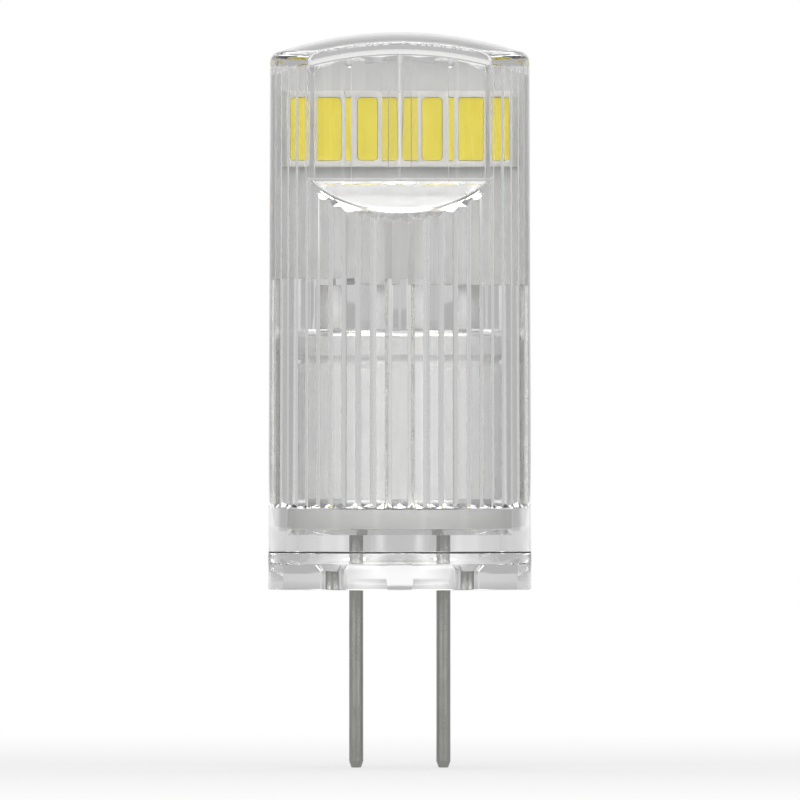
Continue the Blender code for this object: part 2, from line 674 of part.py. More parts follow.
def main():
    clear_scene()
    clear = material("clear_plastic", (0.92, 0.93, 0.93), 0.03, alpha=0.25, transmission=1.0)
    white_board = material("white_solder_mask", (0.8, 0.8, 0.79), 0.45)
    white_body = material("white_led_body", (0.86, 0.86, 0.85), 0.4)
    yellow = material("phosphor", (0.74, 0.62, 0.12), 0.5)
    tin = material("tinned_copper", (0.62, 0.62, 0.6), 0.3, metallic=1.0)
    steel = material("pin_metal", (0.5, 0.5, 0.48), 0.32, metallic=1.0)
    aluminium = material("can_aluminium", (0.78, 0.78, 0.78), 0.3, metallic=1.0)
    sleeve = material("pale_sleeve", (0.85, 0.85, 0.84), 0.4)
    rubber = material("bung_rubber", (0.1, 0.1, 0.1), 0.7)
    black = material("moulded_black", (0.04, 0.04, 0.045), 0.5)
    ferrite = material("ferrite", (0.12, 0.12, 0.12), 0.6)
    copper = material("enamelled_copper", (0.6, 0.26, 0.12), 0.3, metallic=1.0)
    tan = material("ceramic_tan", (0.5, 0.38, 0.26), 0.5)

    build_cover(clear)
    build_base(clear)
    build_pins(steel)
    build_driver_board(white_board)
    build_led_board(white_board)
    build_packages(white_body, yellow)
    build_capacitor(aluminium, sleeve, rubber, tin, sleeve)
    build_links(tin)
    chip_with_legs("driver_chip", (DRIVER_WIDTH, DRIVER_HEIGHT, DRIVER_DEPTH), (DRIVER_X, UPPER_ROW),
                   (-DRIVER_LEG_PITCH, 0.0, DRIVER_LEG_PITCH), False, black)
    chip_with_legs("bridge_rectifier", (BRIDGE_WIDTH, BRIDGE_HEIGHT, BRIDGE_DEPTH), (BRIDGE_X, UPPER_ROW),
                   (-BRIDGE_LEG_PITCH / 2, BRIDGE_LEG_PITCH / 2), True, black)
    build_inductor(ferrite, copper)
    resistor = (CHIP_WIDTH, CHIP_HEIGHT, RESISTOR_DEPTH)
    chip_block("chip_resistor_1", resistor, (0.0, LOWER_ROW), black)
    chip_block("chip_resistor_2", resistor, (-CHIP_PITCH, LOWER_ROW), black)
    chip_block("chip_capacitor", (CHIP_WIDTH, CHIP_HEIGHT, CAPACITOR_DEPTH), (CHIP_PITCH, LOWER_ROW), tan)


main()
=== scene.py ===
"""Looks of the clear LED capsule lamp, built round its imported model.

Everything is in the model's own frame, in metres: +Z up the capsule, the front window along -Y,
and the origin at the centre of the base's underside.
"""
import json
import math

import bmesh
import bpy
import numpy as np
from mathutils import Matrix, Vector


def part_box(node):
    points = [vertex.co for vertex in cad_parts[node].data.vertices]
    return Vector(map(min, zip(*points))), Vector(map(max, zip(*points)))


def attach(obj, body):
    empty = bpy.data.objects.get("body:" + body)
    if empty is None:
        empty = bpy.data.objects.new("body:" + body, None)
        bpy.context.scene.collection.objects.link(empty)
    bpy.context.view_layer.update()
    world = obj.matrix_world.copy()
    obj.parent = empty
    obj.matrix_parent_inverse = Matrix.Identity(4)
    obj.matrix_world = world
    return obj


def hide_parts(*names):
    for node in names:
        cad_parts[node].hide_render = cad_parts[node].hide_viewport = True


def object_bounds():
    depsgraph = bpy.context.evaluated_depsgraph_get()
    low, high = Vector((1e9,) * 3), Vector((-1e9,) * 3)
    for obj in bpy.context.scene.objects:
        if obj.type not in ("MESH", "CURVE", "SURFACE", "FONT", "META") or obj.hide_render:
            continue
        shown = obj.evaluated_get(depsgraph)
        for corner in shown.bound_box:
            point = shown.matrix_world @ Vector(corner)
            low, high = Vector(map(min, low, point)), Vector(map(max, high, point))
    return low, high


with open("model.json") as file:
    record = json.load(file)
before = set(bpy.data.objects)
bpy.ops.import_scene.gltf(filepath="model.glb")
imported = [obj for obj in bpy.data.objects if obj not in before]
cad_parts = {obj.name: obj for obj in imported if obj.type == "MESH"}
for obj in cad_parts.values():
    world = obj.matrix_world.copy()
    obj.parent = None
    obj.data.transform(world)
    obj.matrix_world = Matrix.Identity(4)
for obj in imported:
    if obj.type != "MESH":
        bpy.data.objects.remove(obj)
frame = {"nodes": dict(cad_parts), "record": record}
nodes = frame["nodes"]
cad_low, cad_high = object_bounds()

MM = 0.001

# Camera: the photograph's scale and centre
IMAGE_PX = 800.0
PX_PER_MM = 21.8
PX_PER_M = PX_PER_MM * 1000
BASE_ROW_PX = 589.6
CENTRE_COLUMN_PX = 399.8
CAMERA_DISTANCE = 1.6
CAMERA_CLIP = (0.1, 50.0)
SENSOR_MM = 36.0
LIGHT_BOUNCES = 32

# Studio: brightness against the Y and the Z of a direction, both as (value + 1) / 2
WORLD_AROUND = (
    (0.0, 0.5), (0.02, 0.6), (0.045, 4.9), (0.2, 4.5), (0.28, 0.75), (0.31, 0.58),
    (0.53, 0.57), (0.62, 0.42), (0.98, 0.42), (0.996, 1.0),
)
WORLD_ABOVE = ((0.7, 1.0), (0.8, 0.5))
# What multiplies the first at the horizon, and where it gives way, as the Z of the direction
WORLD_HORIZON = (
    (0.0, 1.0), (0.02, 1.0), (0.045, 0.12), (0.2, 0.12), (0.28, 0.85), (0.96, 1.5),
    (0.98, 1.5), (0.992, 0.9), (0.996, 0.7), (0.9985, 0.5),
)
WORLD_HORIZON_Z = (0.04, 0.1)
# Softboxes overhead and high behind, in parts of the direction: each fades in, is full, fades out
OVERHEAD_X = (-0.13, -0.09, 0.09, 0.13)
OVERHEAD_Y = (-0.34, -0.26, 0.26, 0.34)
OVERHEAD_Z = (0.0, 0.1, 1.1, 1.2)
OVERHEAD_STRENGTH = 8.0
REAR_X = (-0.65, -0.5, 0.5, 0.65)
REAR_Y = (0.35, 0.45, 0.85, 0.93)
REAR_Z = (0.34, 0.42, 1.1, 1.2)
REAR_STRENGTH = 2.2
FLOOR_REACH = 8.0
FLOOR_COLOUR = 0.4
# Share of the glow in the floor that is seen, near the lamp, and where it has grown to the whole
FLOOR_GLOW_NEAR = 0.7
FLOOR_GLOW_FAR_MM = (20.0, 160.0)
# Floor seen through the clear pieces, against the Y of its direction from the lamp: near and far
FLOOR_SEEN_THROUGH = ((0.53, 0.57), (0.62, 0.42), (0.94, 0.44), (0.97, 0.58), (0.995, 1.0))
FLOOR_HORIZON = (
    (0.53, 0.57), (0.62, 0.42), (0.9, 0.42), (0.94, 0.7), (0.9965, 0.7), (0.9985, 0.43),
)
FLOOR_HORIZON_M = (0.5, 1.2)
WHITE = (1.0, 1.0, 1.0)

# Cover, outside
COVER_BOTTOM = 1.73 * MM
COVER_RADIUS = 6.03 * MM
COVER_TOP_RADIUS = 5.94 * MM
COVER_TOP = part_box("clear_cover")[1].z
DOME_RADIUS = 17.6 * MM
SHOULDER_RADIUS = 0.5 * MM
WINDOW_DEPTH = 4.22 * MM
WINDOW_BOTTOM = 18.74 * MM
SHELF_FALL = 0.826
SHELF_SOFT = 0.15 * MM
EDGE_ROUND = 0.1 * MM
# Softened bottom edge, in millimetres: in from the side and up from the bottom
COVER_FOOT = ((0.005, 0.036), (0.03, 0.01), (0.06, 0.0))

# Cover, inside
FLUTE_COUNT = 48
FLUTE_ROOT_RADIUS = 5.18 * MM
FLUTE_TIP_RADIUS = 4.96 * MM
BORE_RADIUS = 5.2 * MM
BORE_TOP = 3.74 * MM
FLUTE_RUNOUT = 0.34 * MM
RUNOUT_INSET = 0.11 * MM
INNER_TOP = COVER_TOP - 0.78 * MM
INNER_DOME_RADIUS = 16.8 * MM
INNER_DOME_REACH = 5.4 * MM
PRISM_BASE_DEPTH = 3.58 * MM
PRISM_GAP = 0.05 * MM
SHELF_WALL = 0.86 * MM
# Cutting shapes start inside the bore and run past the cover
CAVITY_BOTTOM = 3.0 * MM
CAVITY_OVER = 2.0 * MM
CUTTER_REACH = 9.0 * MM
CUTTER_OVER = 5.0 * MM
# Window prisms: half width and height, in millimetres
PRISM_POINTS = (
    (0.0, 0.575), (0.18, 0.44), (0.515, 0.21), (0.54, 0.225), (0.82, 0.03), (1.6, 0.45),
    (2.215, 0.11), (2.235, 0.395), (2.48, 0.54), (2.98, 0.23), (3.24, 0.12), (4.2, 0.12),
)

# Painted shade in the seam, a near-black ring: radius and height in millimetres, opening into the softened
# edge
SEAM_SHADE_SECTION = (
    (5.89, 1.726), (5.968, 1.726), (5.998, 1.735), (6.014, 1.749), (6.014, 1.684), (5.89, 1.684),
)

# Base and pins
SLIDE = 0.04 * MM
FLANGE_RADIUS = 6.04 * MM
FLANGE_HEIGHT = 1.68 * MM
FLANGE_EDGE = 0.07 * MM
FLANGE_SOFT = 0.03 * MM
FLOOR_HEIGHT = 1.09 * MM
FLOOR_SOFT = 0.06 * MM
SPIGOT_HEIGHT = 1.08 * MM
SPIGOT_WALL = 0.55 * MM
SPIGOT_CHAMFER = 0.24 * MM
PIN_PITCH = 4.0 * MM
PIN_DIAMETER = 0.65 * MM
PIN_SINK_DIAMETER = 1.2 * MM
PIN_SINK_DEPTH = 0.27 * MM
DRILL_OVER = 1.0 * MM
NOTCH_WIDTH = 1.16 * MM
NOTCH_DEPTH = 0.12 * MM
NOTCH_REACH = 1.5 * MM
PIN_TIP_LENGTH = 0.27 * MM
PIN_TIP_DIAMETER = 0.43 * MM
PIN_SOFT = 0.04 * MM

# Capacitor, LED packages and boards
CAN_EDGE = 0.3 * MM
CRIMP_DROP = 1.5 * MM
CRIMP_WIDTH = 0.7 * MM
CRIMP_DEPTH = 0.3 * MM
SLEEVE_WALL = 0.12 * MM
SLEEVE_SOFT = 0.03 * MM
BUNG_SINK = 0.9 * MM
FILL_CORNER = 0.16 * MM
FILL_SINK = 0.04 * MM
FILL_SHARES = (0.2, 0.45, 0.7, 0.85, 0.94, 0.985, 1.0)
FILL_POWER = 6
PACKAGE_EDGE = 0.03 * MM
BOARD_EDGE = 0.02 * MM

# Fineness of the cover's outside: rings of the dome, its shoulder and its side
DOME_STEP = 0.4 * MM
DOME_FINE_FROM = 4.0 * MM
DOME_FINE_STEP = 0.08 * MM
DOME_LAST_GAP = 0.02 * MM
SHOULDER_STEPS = 12
# Bands of the side as (start, end) and their counts of rings: above, across and below the shelf
SIDE_TOP_GAP = 0.15 * MM
ABOVE_SHELF = 0.35 * MM
ACROSS_SHELF = (0.3 * MM, 2.8 * MM)
BELOW_SHELF = 3.2 * MM
SIDE_BOTTOM_GAP = 0.12 * MM
SIDE_RINGS = (10, 60, 14)
# Upright rows of the cover, in degrees, closer together where the windows' edges run
SIDE_ROWS = 384
WINDOW_EDGE_TURNS = (44.8, 135.2, 224.8, 315.2)
EDGE_ROWS = 6
EDGE_ROW_STEP = 0.3
LEAST_ROW_STEP = 0.12
# Where a turn's cosine is smaller than this, the windows are out of its reach
LEAST_COSINE = 1e-4
# Points round each turned piece, and rings of the inner dome
MOULDING_POINTS = 288
INNER_DOME_POINTS = 192
INNER_DOME_RINGS = 19
DRILL_POINTS = 64
PIN_POINTS = 96
CAN_POINTS = 128
# Edges sharper than this stay sharp in the shading, in degrees
MOULDING_SHARP = 25.0
PIECE_SHARP = 30.0
# Softened copies: points this near are one, faces this flat are one, sharper edges are rounded
WELD_DISTANCE = 1e-7
FLAT_ANGLE = 1.0
BEVEL_ANGLE = 30.0
BEVEL_SEGMENTS = 2

# Refractive index of the clear plastic, how far streaks lighten and darken drawn metal, and what
# the colour of the fills is multiplied by in their deeper and paler grains
PLASTIC_INDEX = 1.585
STREAK_SPREAD = 0.18
FILL_DEEPER = (0.95, 0.93, 0.7)
FILL_PALER = (1.03, 1.03, 1.5)


# Node helpers

def new_material(name):
    made = bpy.data.materials.new(name)
    made.use_nodes = True
    tree = made.node_tree
    return made, tree, tree.nodes["Principled BSDF"]


def feed(tree, target, value):
    """Give a node's input another node's output, a colour or a number."""
    if isinstance(value, bpy.types.NodeSocket):
        tree.links.new(value, target)
    elif isinstance(value, (tuple, list)):
        target.default_value = (*value, 1.0)
    else:
        target.default_value = value


def calculate(tree, operation, *values):
    step = tree.nodes.new("ShaderNodeMath")
    step.operation = operation
    for target, value in zip(step.inputs, values):
        feed(tree, target, value)
    return step.outputs[0]


def noise(tree, per_mm, stretch=(1.0, 1.0, 1.0), detail=3.0):
    """Noise over the object's own coordinates, in features per millimetre along each axis."""
    place = tree.nodes.new("ShaderNodeTexCoord")
    spread = tree.nodes.new("ShaderNodeMapping")
    spread.inputs["Scale"].default_value = [per_mm / MM * share for share in stretch]
    texture = tree.nodes.new("ShaderNodeTexNoise")
    texture.inputs["Scale"].default_value = 1.0
    texture.inputs["Detail"].default_value = detail
    tree.links.new(place.outputs["Object"], spread.inputs["Vector"])
    tree.links.new(spread.outputs["Vector"], texture.inputs["Vector"])
    return texture.outputs["Fac"]


def fit_range(tree, source, low, high, start=0.3, end=0.7, curve="LINEAR"):
    """Bring values between start and end, which noise fills by default, into another range."""
    fit = tree.nodes.new("ShaderNodeMapRange")
    fit.interpolation_type = curve
    fit.inputs["From Min"].default_value = start
    fit.inputs["From Max"].default_value = end
    fit.inputs["To Min"].default_value = low
    fit.inputs["To Max"].default_value = high
    tree.links.new(source, fit.inputs["Value"])
    return fit.outputs["Result"]


def half_range(tree, source):
    """Bring -1 to 1 into 0 to 1."""
    return calculate(tree, "MULTIPLY_ADD", source, 0.5, 0.5)


def blend(tree, source, first, second):
    """Mix two colours by a value."""
    mix = tree.nodes.new("ShaderNodeMix")
    mix.data_type = "RGBA"
    feed(tree, mix.inputs["A"], first)
    feed(tree, mix.inputs["B"], second)
    tree.links.new(source, mix.inputs["Factor"])
    return mix.outputs["Result"]


def ramp_over(tree, source, stops):
    """Grey values between stops of (position, value)."""
    ramp = tree.nodes.new("ShaderNodeValToRGB")
    tree.links.new(source, ramp.inputs[0])
    elements = ramp.color_ramp.elements
    while len(elements) < len(stops):
        elements.new(0.5)
    for element, (position, value) in zip(elements, stops):
        element.position = position
        element.color = (value, value, value, 1.0)
    return ramp.outputs["Color"]


def rough_up(tree, shader, height, depth_mm):
    """Bump a shader by a height value."""
    bump = tree.nodes.new("ShaderNodeBump")
    bump.inputs["Strength"].default_value = 1.0
    bump.inputs["Distance"].default_value = depth_mm * MM
    tree.links.new(height, bump.inputs["Height"])
    tree.links.new(bump.outputs["Normal"], shader.inputs["Normal"])


def show(tree, share, first, second, output):
    """Show one of two shaders, or a share of both."""
    pick = tree.nodes.new("ShaderNodeMixShader")
    tree.links.new(share, pick.inputs[0])
    tree.links.new(first.outputs[0], pick.inputs[1])
    tree.links.new(second.outputs[0], pick.inputs[2])
    tree.links.new(pick.outputs[0], tree.nodes[output].inputs["Surface"])


# Materials

def shades(colour, spread):
    """A darker and a lighter colour, the same share away from one."""
    darker = [c * (1.0 - spread) for c in colour]
    lighter = [min(c * (1.0 + spread), 1.0) for c in colour]
    return darker, lighter


def mottled(name, colour, roughness, grain, spread):
    """Moulded or painted surface: one colour with a faint fine mottle."""
    made, tree, shader = new_material(name)
    fine = noise(tree, grain)
    tree.links.new(blend(tree, fine, *shades(colour, spread)), shader.inputs["Base Color"])
    uneven = fit_range(tree, fine, low=roughness * 0.85, high=roughness * 1.15)
    tree.links.new(uneven, shader.inputs["Roughness"])
    rough_up(tree, shader, fine, depth_mm=0.002)
    return made


def drawn_metal(name, colour, roughness):
    """Drawn or plated metal with faint streaks along Z."""
    made, tree, shader = new_material(name)
    streaks = noise(tree, per_mm=14.0, stretch=(1.0, 1.0, 0.06))
    wide = noise(tree, per_mm=0.8)
    tree.links.new(blend(tree, streaks, *shades(colour, STREAK_SPREAD)), shader.inputs["Base Color"])
    uneven = fit_range(tree, wide, low=roughness * 0.8, high=roughness * 1.25)
    tree.links.new(uneven, shader.inputs["Roughness"])
    shader.inputs["Metallic"].default_value = 1.0
    rough_up(tree, shader, streaks, depth_mm=0.003)
    return made


def board_look(name, colour):
    """White solder mask over glass cloth: a faint woven relief under a satin coat."""
    made, tree, shader = new_material(name)
    cloud = noise(tree, per_mm=1.2)
    weave = noise(tree, per_mm=5.0, stretch=(1.0, 1.0, 0.25))
    darker = [c * 0.96 for c in colour]
    tree.links.new(blend(tree, cloud, darker, colour), shader.inputs["Base Color"])
    tree.links.new(fit_range(tree, cloud, low=0.38, high=0.5), shader.inputs["Roughness"])
    rough_up(tree, shader, weave, depth_mm=0.003)
    return made


def phosphor_look(name, colour):
    """Silicone loaded with phosphor grains."""
    made, tree, shader = new_material(name)
    grains = noise(tree, per_mm=22.0, detail=1.0)
    cloud = noise(tree, per_mm=1.0)
    deeper = [c * share for c, share in zip(colour, FILL_DEEPER)]
    paler = [min(c * share, 1.0) for c, share in zip(colour, FILL_PALER)]
    speckle = fit_range(tree, grains, low=0.0, high=1.0)
    drift = fit_range(tree, cloud, low=0.0, high=0.4)
    mixed = calculate(tree, "MULTIPLY_ADD", speckle, 0.6, drift)
    tree.links.new(blend(tree, mixed, deeper, paler), shader.inputs["Base Color"])
    shader.inputs["Roughness"].default_value = 0.42
    rough_up(tree, shader, grains, depth_mm=0.004)
    return made


def clear_plastic(name, roughness):
    made, tree, shader = new_material(name)
    feed(tree, shader.inputs["Base Color"], WHITE)
    shader.inputs["Roughness"].default_value = roughness
    shader.inputs["IOR"].default_value = PLASTIC_INDEX
    shader.inputs["Transmission Weight"].default_value = 1.0
    return made


def floor_look(name):
    """Pale matt floor that glows where it is seen, and keeps the lamp's shadow near the lamp."""
    made, tree, shader = new_material(name)
    feed(tree, shader.inputs["Base Color"], (FLOOR_COLOUR, FLOOR_COLOUR, FLOOR_COLOUR))
    shader.inputs["Roughness"].default_value = 1.0
    shader.inputs["Specular IOR Level"].default_value = 0.0
    path = tree.nodes.new("ShaderNodeLightPath")
    through = path.outputs["Is Transmission Ray"]
    seen = calculate(tree, "MAXIMUM", path.outputs["Is Camera Ray"], path.outputs["Is Glossy Ray"])
    seen = calculate(tree, "MAXIMUM", seen, through)
    place = tree.nodes.new("ShaderNodeNewGeometry")
    reach = tree.nodes.new("ShaderNodeVectorMath")
    reach.operation = "LENGTH"
    tree.links.new(place.outputs["Position"], reach.inputs[0])
    distance = reach.outputs["Value"]
    start, end = (edge * MM for edge in FLOOR_GLOW_FAR_MM)
    glowing = fit_range(tree, distance, FLOOR_GLOW_NEAR, 1.0, start, end)
    # seen through the clear pieces, its colour follows the direction from the lamp
    aim = tree.nodes.new("ShaderNodeVectorMath")
    aim.operation = "NORMALIZE"
    tree.links.new(place.outputs["Position"], aim.inputs[0])
    parts = tree.nodes.new("ShaderNodeSeparateXYZ")
    tree.links.new(aim.outputs["Vector"], parts.inputs[0])
    towards = half_range(tree, parts.outputs["Y"])
    near_colour = ramp_over(tree, towards, FLOOR_SEEN_THROUGH)
    far_colour = ramp_over(tree, towards, FLOOR_HORIZON)
    start, end = FLOOR_HORIZON_M
    deep = fit_range(tree, distance, 0.0, 1.0, start, end)
    glow = tree.nodes.new("ShaderNodeEmission")
    tint = blend(tree, through, WHITE, blend(tree, deep, near_colour, far_colour))
    tree.links.new(tint, glow.inputs["Color"])
    share = calculate(tree, "MULTIPLY", seen, glowing)
    show(tree, share, shader, glow, "Material Output")
    return made


def softbox(tree, split, limits, strength):
    """Brightness of a soft-edged box in direction space."""
    level = strength
    for axis, edges in zip("XYZ", limits):
        for start, end in ((edges[0], edges[1]), (edges[3], edges[2])):
            fade = fit_range(tree, split.outputs[axis], 0.0, 1.0, start, end, "SMOOTHSTEP")
            level = calculate(tree, "MULTIPLY", fade, level)
    return level


def studio_world(name):
    """The camera sees plain white, and everything else a soft studio."""
    world = bpy.data.worlds.new(name)
    world.use_nodes = True
    tree = world.node_tree
    coord = tree.nodes.new("ShaderNodeTexCoord")
    split = tree.nodes.new("ShaderNodeSeparateXYZ")
    tree.links.new(coord.outputs["Generated"], split.inputs[0])
    towards = half_range(tree, split.outputs["Y"])
    around = ramp_over(tree, towards, WORLD_AROUND)
    level = calculate(tree, "ABSOLUTE", split.outputs["Z"])
    start, end = WORLD_HORIZON_Z
    rise = fit_range(tree, level, 0.0, 1.0, start, end)
    bands = blend(tree, rise, ramp_over(tree, towards, WORLD_HORIZON), WHITE)
    around = calculate(tree, "MULTIPLY", around, bands)
    above = ramp_over(tree, half_range(tree, split.outputs["Z"]), WORLD_ABOVE)
    around = calculate(tree, "MULTIPLY", around, above)
    overhead = softbox(tree, split, (OVERHEAD_X, OVERHEAD_Y, OVERHEAD_Z), OVERHEAD_STRENGTH)
    rear = softbox(tree, split, (REAR_X, REAR_Y, REAR_Z), REAR_STRENGTH)
    boxes = calculate(tree, "ADD", overhead, rear)
    studio = tree.nodes["Background"]
    tree.links.new(calculate(tree, "ADD", boxes, around), studio.inputs["Color"])
    white = tree.nodes.new("ShaderNodeBackground")
    feed(tree, white.inputs["Color"], WHITE)
    path = tree.nodes.new("ShaderNodeLightPath")
    show(tree, path.outputs["Is Camera Ray"], studio, white, "World Output")
    return world


# Mesh helpers

def mesh_object(name, verts, faces, smooth):
    mesh = bpy.data.meshes.new(name)
    mesh.from_pydata([tuple(v) for v in verts], [], faces)
    mesh.update()
    mesh.polygons.foreach_set("use_smooth", [smooth] * len(mesh.polygons))
    made = bpy.data.objects.new(name, mesh)
    bpy.context.scene.collection.objects.link(made)
    return made


def solid(name, verts, faces, smooth=True):
    """Closed mesh with its faces turned outwards."""
    made = mesh_object(name, verts, faces, smooth)
    shape = bmesh.new()
    shape.from_mesh(made.data)
    bmesh.ops.recalc_face_normals(shape, faces=shape.faces)
    shape.to_mesh(made.data)
    shape.free()
    return made


def closed_loft(name, rings, apex, foot):
    """Skin rings of equal length, closed by a fan to an apex and to a foot point."""
    n = len(rings[0])
    verts = [p for points in rings for p in points]
    faces = []
    for k in range(len(rings) - 1):
        for i in range(n):
            j = (i + 1) % n
            faces.append((k * n + i, (k + 1) * n + i, (k + 1) * n + j, k * n + j))
    top = len(verts)
    faces += [(top, i, (i + 1) % n) for i in range(n)]
    base = top - n
    faces += [(top + 1, base + (i + 1) % n, base + i) for i in range(n)]
    return solid(name, [*verts, apex, foot], faces)


def turned(name, profile, steps):
    """Solid of revolution: (radius, height) points from the axis at the top, outwards and down."""
    turns = np.linspace(0, 2 * math.pi, steps, endpoint=False)
    rings = [[(r * math.cos(a), r * math.sin(a), z) for a in turns] for r, z in profile[1:-1]]
    return closed_loft(name, rings, apex=(0, 0, profile[0][1]), foot=(0, 0, profile[-1][1]))


def ring(name, section, steps, smooth):
    """Closed ring about Z from a loop of (radius, height) points."""
    turns = np.linspace(0, 2 * math.pi, steps, endpoint=False)
    verts = [(r * math.cos(a), r * math.sin(a), z) for a in turns for r, z in section]
    faces = []
    n = len(section)
    for i in range(steps):
        j = (i + 1) % steps
        for k in range(n):
            m = (k + 1) % n
            faces.append((i * n + k, i * n + m, j * n + m, j * n + k))
    return solid(name, verts, faces, smooth)


def prism(name, outline, low, high):
    """An upright prism from a counter-clockwise outline in X and Y."""
    n = len(outline)
    verts = [(x, y, z) for z in (high, low) for x, y in outline]
    faces = [tuple(range(n)), tuple(range(2 * n - 1, n - 1, -1))]
    for i in range(n):
        j = (i + 1) % n
        faces.append((i, n + i, n + j, j))
    return solid(name, verts, faces, smooth=False)


def boolean(target, cutter, operation="DIFFERENCE"):
    step = target.modifiers.new(operation, "BOOLEAN")
    step.operation = operation
    step.solver = "EXACT"
    step.object = cutter


def apply_modifiers(obj):
    bpy.context.view_layer.update()
    graph = bpy.context.evaluated_depsgraph_get()
    mesh = bpy.data.meshes.new_from_object(obj.evaluated_get(graph))
    obj.modifiers.clear()
    obj.data = mesh


def discard(*objs):
    for obj in objs:
        bpy.data.objects.remove(obj, do_unlink=True)


def coat(obj, finish, sharp):
    """One material all over, and shading that breaks at edges sharper than an angle in degrees."""
    obj.data.set_sharp_from_angle(angle=math.radians(sharp))
    obj.data.materials.clear()
    obj.data.materials.append(finish)
    for polygon in obj.data.polygons:
        polygon.material_index = 0


# Cover

def smooth_min(a, b, width):
    """The smaller of two values, rounded where they cross."""
    h = max(width - abs(a - b), 0.0) / width
    return min(a, b) - h * h * width / 4.0


def dome_height(r, apex, radius):
    return apex - radius + math.sqrt(radius * radius - r * r)


def cover_profile():
    """Radius and height of the cover's outside without its windows, from the dome down."""
    flat_r = COVER_TOP_RADIUS - SHOULDER_RADIUS
    steps = [DOME_STEP * k for k in range(1, round(DOME_FINE_FROM / DOME_STEP))]
    r = DOME_FINE_FROM
    while r < flat_r - DOME_LAST_GAP:
        steps.append(r)
        r += DOME_FINE_STEP
    profile = [(r, dome_height(r, COVER_TOP, DOME_RADIUS)) for r in steps]
    centre = dome_height(flat_r, COVER_TOP, DOME_RADIUS) - SHOULDER_RADIUS
    for k in range(SHOULDER_STEPS + 1):
        turn = math.radians(90.0 * k / SHOULDER_STEPS)
        out, up = SHOULDER_RADIUS * math.sin(turn), SHOULDER_RADIUS * math.cos(turn)
        profile.append((flat_r + out, centre + up))
    side_top = profile[-1][1]

    def side(z):
        taper = COVER_RADIUS - COVER_TOP_RADIUS
        return COVER_TOP_RADIUS + taper * (side_top - z) / (side_top - COVER_BOTTOM)

    starts = (side_top - SIDE_TOP_GAP, WINDOW_BOTTOM + ACROSS_SHELF[0], WINDOW_BOTTOM - BELOW_SHELF)
    ends = (WINDOW_BOTTOM + ABOVE_SHELF, WINDOW_BOTTOM - ACROSS_SHELF[1], COVER_BOTTOM + SIDE_BOTTOM_GAP)
    for start, end, count in zip(starts, ends, SIDE_RINGS):
        profile += [(side(z), z) for z in np.linspace(start, end, count)]
    foot = side(COVER_BOTTOM)
    profile += [(foot - inwards * MM, COVER_BOTTOM + up * MM) for inwards, up in COVER_FOOT]
    return profile


def window_depth(z):
    """Distance of a window's flat, or of the shelf below it, from the axis at a height."""
    # the concave corner between flat and shelf is softened
    if abs(z - WINDOW_BOTTOM) < SHELF_SOFT:
        t = (WINDOW_BOTTOM + SHELF_SOFT - z) / (2 * SHELF_SOFT)
        return WINDOW_DEPTH + t * t * SHELF_SOFT / SHELF_FALL
    return WINDOW_DEPTH + max(0.0, WINDOW_BOTTOM - z) / SHELF_FALL


def cover_rings(turns):
    """Rings of the cover's outside, from the dome down, cut by the windows with rounded edges."""
    rings = []
    for r, z in cover_profile():
        depth = window_depth(z)
        points = []
        for a in turns:
            limit = depth / max(abs(math.cos(a)), LEAST_COSINE)
            reach = smooth_min(r, limit, EDGE_ROUND) if limit < 2 * COVER_RADIUS else r
            points.append((reach * math.sin(a), -reach * math.cos(a), z))
        rings.append(points)
    return rings


def cover_turns():
    """Turns of the cover's upright rows."""
    marks = {round(360.0 / SIDE_ROWS * k, 4) for k in range(SIDE_ROWS)}
    for centre in WINDOW_EDGE_TURNS:
        for k in range(-EDGE_ROWS, EDGE_ROWS + 1):
            marks.add(round(centre + EDGE_ROW_STEP * k, 4))
    kept = []
    for mark in sorted(marks):
        if not kept or mark - kept[-1] > LEAST_ROW_STEP:
            kept.append(mark)
    return [math.radians(mark) for mark in kept]


def wedge(name, depth, bottom, side):
    """Block outside a window's inner flat and shelf, as a prism along X."""
    far = CUTTER_REACH
    over = COVER_TOP + CUTTER_OVER
    outline = [(depth, bottom), (far, bottom - SHELF_FALL * (far - depth)), (far, over), (depth, over)]
    verts = [(x, side * d, z) for x in (-far, far) for d, z in outline]
    faces = [(0, 1, 2, 3), (7, 6, 5, 4), (0, 4, 5, 1), (1, 5, 6, 2), (2, 6, 7, 3), (3, 7, 4, 0)]
    if side < 0:
        faces = [tuple(reversed(f)) for f in faces]
    return solid(name, verts, faces, smooth=False)


def window_prisms(name, bottom, side):
    """Block outside a window's upright prisms."""
    right = [(x * MM, side * (PRISM_BASE_DEPTH - proud * MM)) for x, proud in PRISM_POINTS]
    left = [(-x, y) for x, y in reversed(right[1:])]
    far = CUTTER_REACH
    behind = [(far, right[-1][1]), (far, side * far), (-far, side * far), (-far, left[0][1])]
    return prism(name, [*left, *right, *behind], bottom + PRISM_GAP, COVER_TOP + CUTTER_OVER)


def inner_dome():
    """Turned block under the inner dome, down to the bottom of the cover."""
    profile = [(0.0, INNER_TOP)]
    for k in range(1, INNER_DOME_RINGS + 1):
        r = INNER_DOME_REACH * k / INNER_DOME_RINGS
        profile.append((r, dome_height(r, INNER_TOP, INNER_DOME_RADIUS)))
    profile += [(INNER_DOME_REACH, 0.0), (0.0, 0.0)]
    return turned("cavity_dome", profile, INNER_DOME_POINTS)


